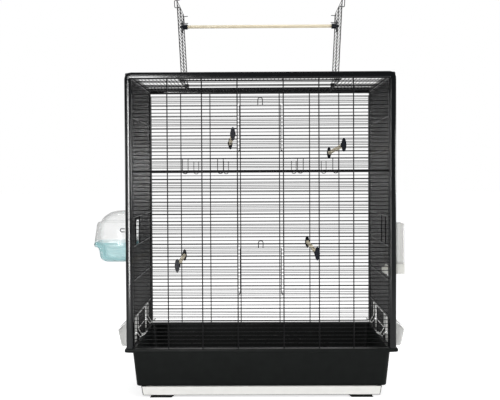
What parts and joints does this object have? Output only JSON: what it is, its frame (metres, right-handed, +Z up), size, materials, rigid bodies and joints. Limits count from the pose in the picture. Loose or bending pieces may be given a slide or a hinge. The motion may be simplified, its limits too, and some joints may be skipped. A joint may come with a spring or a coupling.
{
  "type": "bird cage",
  "caption": "Tall wire bird cage on a deep tub with a pull-out tray, an opening playtop roof, drop-down doors, feeders, a silo and a hanging bath.",
  "frame": {"origin": "on the floor below the middle of the four posts", "axes": "+Z up, the front with its doors and drawer faces -Y, the bath hangs on the -X side"},
  "size_m": [0.9557, 0.501, 1.199],
  "materials": {
    "gloss": "glossy moulded black",
    "base": "satin moulded black",
    "drawer": "smooth off-white",
    "wire": "black coated wire",
    "wood": "bare turned hardwood",
    "cap": "smooth black",
    "clear": "clear moulded plastic",
    "basin": "tinted see-through",
    "clip": "satin grey",
    "silo": "milky see-through",
    "trough": "satin beige-grey",
    "cup": "milky see-through",
    "chrome": "bright wire"
  },
  "bodies": {
    "cage": {"base_plate": "base", "base_tray": "base", "post_front_left": "gloss", "post_front_right": "gloss", "post_back_left": "gloss", "post_back_right": "gloss", "rail_top_front": "gloss", "rail_top_back": "gloss", "rail_top_left": "gloss", "rail_top_right": "gloss", "hinge_left_front": "gloss", "hinge_left_back": "gloss", "hinge_right_front": "gloss", "hinge_right_back": "gloss", "front_bars": "wire", "front_frame": "wire", "back_bars": "wire", "back_frame": "wire", "left_bars": "wire", "left_frame": "wire", "right_bars": "wire", "right_frame": "wire", "roof_bars": "wire", "roof_frame": "wire", "roof_perch": "wood", "perch_1": "wood", "perch_2": "wood", "perch_3": "wood", "perch_4": "wood", "roof_perch_cap_left": "cap", "roof_perch_cap_right": "cap", "perch_1_cap_front": "cap", "perch_1_cap_back": "cap", "perch_2_cap_front": "cap", "perch_2_cap_back": "cap", "perch_3_cap_front": "cap", "perch_3_cap_back": "cap", "perch_4_cap_front": "cap", "perch_4_cap_back": "cap", "bath_dome": "clear", "bath_basin": "basin", "bath_hook": "clip", "bath_knob": "clip", "silo_tank": "silo", "silo_trough": "trough", "cup_front_left": "cup", "cup_front_right": "cup", "cup_back_left": "cup", "cup_back_right": "cup", "cup_perches_left": "chrome", "cup_perches_right": "chrome"},
    "drawer": {"drawer": "drawer"},
    "door_upper": {"door_upper": "wire"},
    "door_lower": {"door_lower": "wire"},
    "flap_left": {"flap_left": "wire"},
    "flap_right": {"flap_right": "wire"},
    "lid_front_left": {"lid_front_left": "cup"},
    "lid_back_left": {"lid_back_left": "cup"},
    "lid_front_right": {"lid_front_right": "cup"},
    "lid_back_right": {"lid_back_right": "cup"}
  },
  "joints": [
    {"name": "drawer_slide", "type": "slide", "parent": "cage", "child": "drawer", "axis": [0, -1, 0], "range_m": [0, 0.4]},
    {"name": "door_upper_hinge", "type": "hinge", "parent": "cage", "child": "door_upper", "pos_m": [0, -0.2403, 0.731], "axis": [1, 0, 0], "range_deg": [0, 170]},
    {"name": "door_lower_hinge", "type": "hinge", "parent": "cage", "child": "door_lower", "pos_m": [0, -0.2403, 0.3086], "axis": [1, 0, 0], "range_deg": [0, 170]},
    {"name": "flap_left_hinge", "type": "hinge", "parent": "cage", "child": "flap_left", "pos_m": [-0.241, 0, 0.957], "axis": [0, 1, 0], "range_deg": [-83, 0]},
    {"name": "flap_right_hinge", "type": "hinge", "parent": "cage", "child": "flap_right", "pos_m": [0.241, 0, 0.957], "axis": [0, 1, 0], "range_deg": [0, 83]},
    {"name": "lid_front_left_hinge", "type": "hinge", "parent": "cage", "child": "lid_front_left", "pos_m": [-0.3853, -0.16385, 0.226], "axis": [0, 1, 0], "range_deg": [0, 75]},
    {"name": "lid_back_left_hinge", "type": "hinge", "parent": "cage", "child": "lid_back_left", "pos_m": [-0.3853, 0.08475, 0.226], "axis": [0, 1, 0], "range_deg": [0, 75]},
    {"name": "lid_front_right_hinge", "type": "hinge", "parent": "cage", "child": "lid_front_right", "pos_m": [0.3853, -0.16385, 0.226], "axis": [0, 1, 0], "range_deg": [-75, 0]},
    {"name": "lid_back_right_hinge", "type": "hinge", "parent": "cage", "child": "lid_back_right", "pos_m": [0.3853, 0.08475, 0.226], "axis": [0, 1, 0], "range_deg": [-75, 0]}
  ]
}
